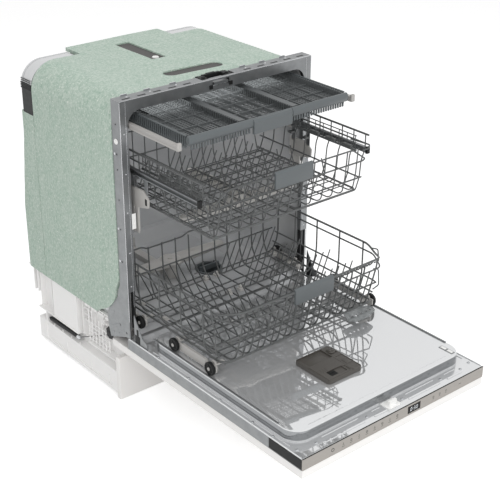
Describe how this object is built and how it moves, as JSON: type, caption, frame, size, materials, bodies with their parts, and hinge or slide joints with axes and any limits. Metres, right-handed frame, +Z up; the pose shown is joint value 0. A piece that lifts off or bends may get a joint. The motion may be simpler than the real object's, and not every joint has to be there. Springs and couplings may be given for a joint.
{
  "type": "integrated dishwasher",
  "caption": "Built-in dishwasher with its door open, two wire racks and a cutlery tray drawn out, a felt-wrapped steel tub and a plastic base.",
  "frame": {"origin": "under the middle of the outline, on the floor", "axes": "+Z up, the open door points towards -Y, +X to the right seen from the front"},
  "size_m": [0.6, 1.159, 0.84],
  "materials": {
    "galvanised_steel": "satin",
    "stainless_steel": "polished",
    "felt": "fibrous",
    "bitumen": "matt",
    "white_plastic": "satin",
    "white_board": "satin",
    "coated_wire": "satin",
    "grey_plastic": "satin",
    "dark_plastic": "satin",
    "light_plastic": "satin",
    "clear_plastic": "gloss",
    "seal_rubber": "matt",
    "display_glass": "gloss",
    "strip_metal": "brushed",
    "spring_steel": "satin",
    "dispenser_plastic": "satin"
  },
  "bodies": {
    "machine": {"front_posts": "galvanised_steel", "top_rail": "galvanised_steel", "trim_plugs": "white_plastic", "tub_wrap": "stainless_steel", "tub_back": "stainless_steel", "tub_floor": "stainless_steel", "door_gasket": "seal_rubber", "bitumen_pads": "bitumen", "felt_blanket": "felt", "rear_felt": "felt", "base_tray": "white_plastic", "kick_plate": "white_board", "sump_unit": "dark_plastic", "filter_plate": "stainless_steel", "water_softener": "light_plastic", "spray_feed": "light_plastic", "hinge_plates": "galvanised_steel", "door_guards": "galvanised_steel", "rope_pulleys": "dark_plastic", "door_springs": "spring_steel", "door_lock": "dark_plastic", "roller_brackets": "light_plastic", "tray_channels": "stainless_steel", "door_board": "white_board", "door_shell": "galvanised_steel", "door_liner": "stainless_steel", "dispenser_body": "dispenser_plastic", "control_strip": "strip_metal", "display_window": "display_glass", "end_caps": "dark_plastic", "door_striker": "galvanised_steel"},
    "feet": {"levelling_feet": "dark_plastic"},
    "filter": {"filter_cup": "grey_plastic"},
    "salt_cap": {"salt_cap": "grey_plastic"},
    "lower_arm": {"lower_spray_arm": "light_plastic"},
    "middle_arm": {"middle_spray_arm": "light_plastic"},
    "lock_hook": {"lock_hook": "galvanised_steel"},
    "rollers": {"wall_rollers": "dark_plastic"},
    "dispenser_lid": {"dispenser_lid": "dispenser_plastic"},
    "rinse_cap": {"rinse_cap": "dispenser_plastic"},
    "lower_rack": {"lower_basket": "coated_wire", "lower_handle": "grey_plastic", "wheel_carriers": "light_plastic"},
    "wheels_1": {"wheel_pair_1": "dark_plastic"},
    "wheels_2": {"wheel_pair_2": "dark_plastic"},
    "wheels_3": {"wheel_pair_3": "dark_plastic"},
    "wheels_4": {"wheel_pair_4": "dark_plastic"},
    "tines_1": {"tine_row_1": "coated_wire"},
    "tines_2": {"tine_row_2": "coated_wire"},
    "tines_3": {"tine_row_3": "coated_wire"},
    "tines_4": {"tine_row_4": "coated_wire"},
    "middle_carriage": {"middle_runners": "dark_plastic"},
    "middle_rack": {"middle_basket": "coated_wire", "middle_handle": "grey_plastic", "middle_feed_tube": "light_plastic"},
    "cup_shelf_left": {"cup_shelf_left": "dark_plastic"},
    "cup_shelf_right": {"cup_shelf_right": "dark_plastic"},
    "cutlery_tray": {"tray_frame": "grey_plastic", "tray_inserts": "grey_plastic", "tray_runners": "light_plastic"}
  },
  "joints": [
    {"name": "lower_rack_slide", "type": "slide", "parent": "machine", "child": "lower_rack", "axis": [0, 1, 0], "range_m": [-0.2, 0.385]},
    {"name": "wheels_1_spin", "type": "hinge", "parent": "lower_rack", "child": "wheels_1", "pos_m": [0, -0.2195, 0.2533], "axis": [1, 0, 0], "range_deg": [-1303, 679]},
    {"name": "wheels_2_spin", "type": "hinge", "parent": "lower_rack", "child": "wheels_2", "pos_m": [0, -0.0775, 0.2533], "axis": [1, 0, 0], "range_deg": [-1303, 679]},
    {"name": "wheels_3_spin", "type": "hinge", "parent": "lower_rack", "child": "wheels_3", "pos_m": [0, 0.0645, 0.2533], "axis": [1, 0, 0], "range_deg": [-1303, 679]},
    {"name": "wheels_4_spin", "type": "hinge", "parent": "lower_rack", "child": "wheels_4", "pos_m": [0, 0.1535, 0.2533], "axis": [1, 0, 0], "range_deg": [-1303, 679]},
    {"name": "tines_1_fold", "type": "hinge", "parent": "lower_rack", "child": "tines_1", "pos_m": [-0.12, 0.1175, 0.27088], "axis": [1, 0, 0], "range_deg": [0, 88]},
    {"name": "tines_2_fold", "type": "hinge", "parent": "lower_rack", "child": "tines_2", "pos_m": [-0.12, 0.0155, 0.27088], "axis": [1, 0, 0], "range_deg": [0, 88]},
    {"name": "tines_3_fold", "type": "hinge", "parent": "lower_rack", "child": "tines_3", "pos_m": [0.12, 0.1175, 0.27088], "axis": [1, 0, 0], "range_deg": [0, 88]},
    {"name": "tines_4_fold", "type": "hinge", "parent": "lower_rack", "child": "tines_4", "pos_m": [0.12, 0.0155, 0.27088], "axis": [1, 0, 0], "range_deg": [0, 88]},
    {"name": "middle_rack_slide", "type": "slide", "parent": "machine", "child": "middle_carriage", "axis": [0, 1, 0], "range_m": [-0.06, 0.305]},
    {"name": "middle_rack_height", "type": "slide", "parent": "middle_carriage", "child": "middle_rack", "axis": [0, 0, -1], "range_m": [0, 0.05]},
    {"name": "middle_arm_spin", "type": "hinge", "parent": "middle_rack", "child": "middle_arm", "pos_m": [0, -0.0025, 0.538], "axis": [0, 0, 1], "continuous": true},
    {"name": "cup_shelf_left_fold", "type": "hinge", "parent": "middle_rack", "child": "cup_shelf_left", "pos_m": [-0.2388, -0.0485, 0.662], "axis": [0, 1, 0], "range_deg": [0, 86]},
    {"name": "cup_shelf_right_fold", "type": "hinge", "parent": "middle_rack", "child": "cup_shelf_right", "pos_m": [0.2388, -0.0485, 0.662], "axis": [0, -1, 0], "range_deg": [0, 86]},
    {"name": "rollers_spin", "type": "hinge", "parent": "machine", "child": "rollers", "pos_m": [0, 0.1295, 0.662], "axis": [1, 0, 0], "range_deg": [-3366, 666]},
    {"name": "cutlery_tray_slide", "type": "slide", "parent": "machine", "child": "cutlery_tray", "axis": [0, 1, 0], "range_m": [-0.03, 0.226]},
    {"name": "lower_arm_spin", "type": "hinge", "parent": "machine", "child": "lower_arm", "pos_m": [0, 0.3025, 0.249], "axis": [0, 0, 1], "continuous": true},
    {"name": "filter_turn", "type": "hinge", "parent": "machine", "child": "filter", "pos_m": [0.11, 0.2675, 0.2], "axis": [0, 0, 1], "range_deg": [0, 90]},
    {"name": "salt_cap_turn", "type": "hinge", "parent": "machine", "child": "salt_cap", "pos_m": [-0.15, 0.4175, 0.208], "axis": [0, 0, 1], "range_deg": [0, 270]},
    {"name": "dispenser_lid_slide", "type": "slide", "parent": "machine", "child": "dispenser_lid", "axis": [0, 1, 0], "range_m": [0, 0.042]},
    {"name": "rinse_cap_turn", "type": "hinge", "parent": "machine", "child": "rinse_cap", "pos_m": [0.0125, -0.3385, 0.249], "axis": [0, 0, 1], "range_deg": [0, 90]},
    {"name": "lock_hook_tip", "type": "hinge", "parent": "machine", "child": "lock_hook", "pos_m": [0, 0.0945, 0.83], "axis": [1, 0, 0], "range_deg": [-8, 4], "stiffness_Nm_per_rad": 0.4},
    {"name": "feet_screw", "type": "slide", "parent": "machine", "child": "feet", "axis": [0, 0, -1], "range_m": [0, 0.03]}
  ],
  "couplings": [
    {"joint": "wheels_1_spin", "follows": "lower_rack_slide", "rad_per_m": -58.824},
    {"joint": "wheels_2_spin", "follows": "lower_rack_slide", "rad_per_m": -58.824},
    {"joint": "wheels_3_spin", "follows": "lower_rack_slide", "rad_per_m": -58.824},
    {"joint": "wheels_4_spin", "follows": "lower_rack_slide", "rad_per_m": -58.824},
    {"joint": "rollers_spin", "follows": "middle_rack_slide", "rad_per_m": -192.31}
  ]
}
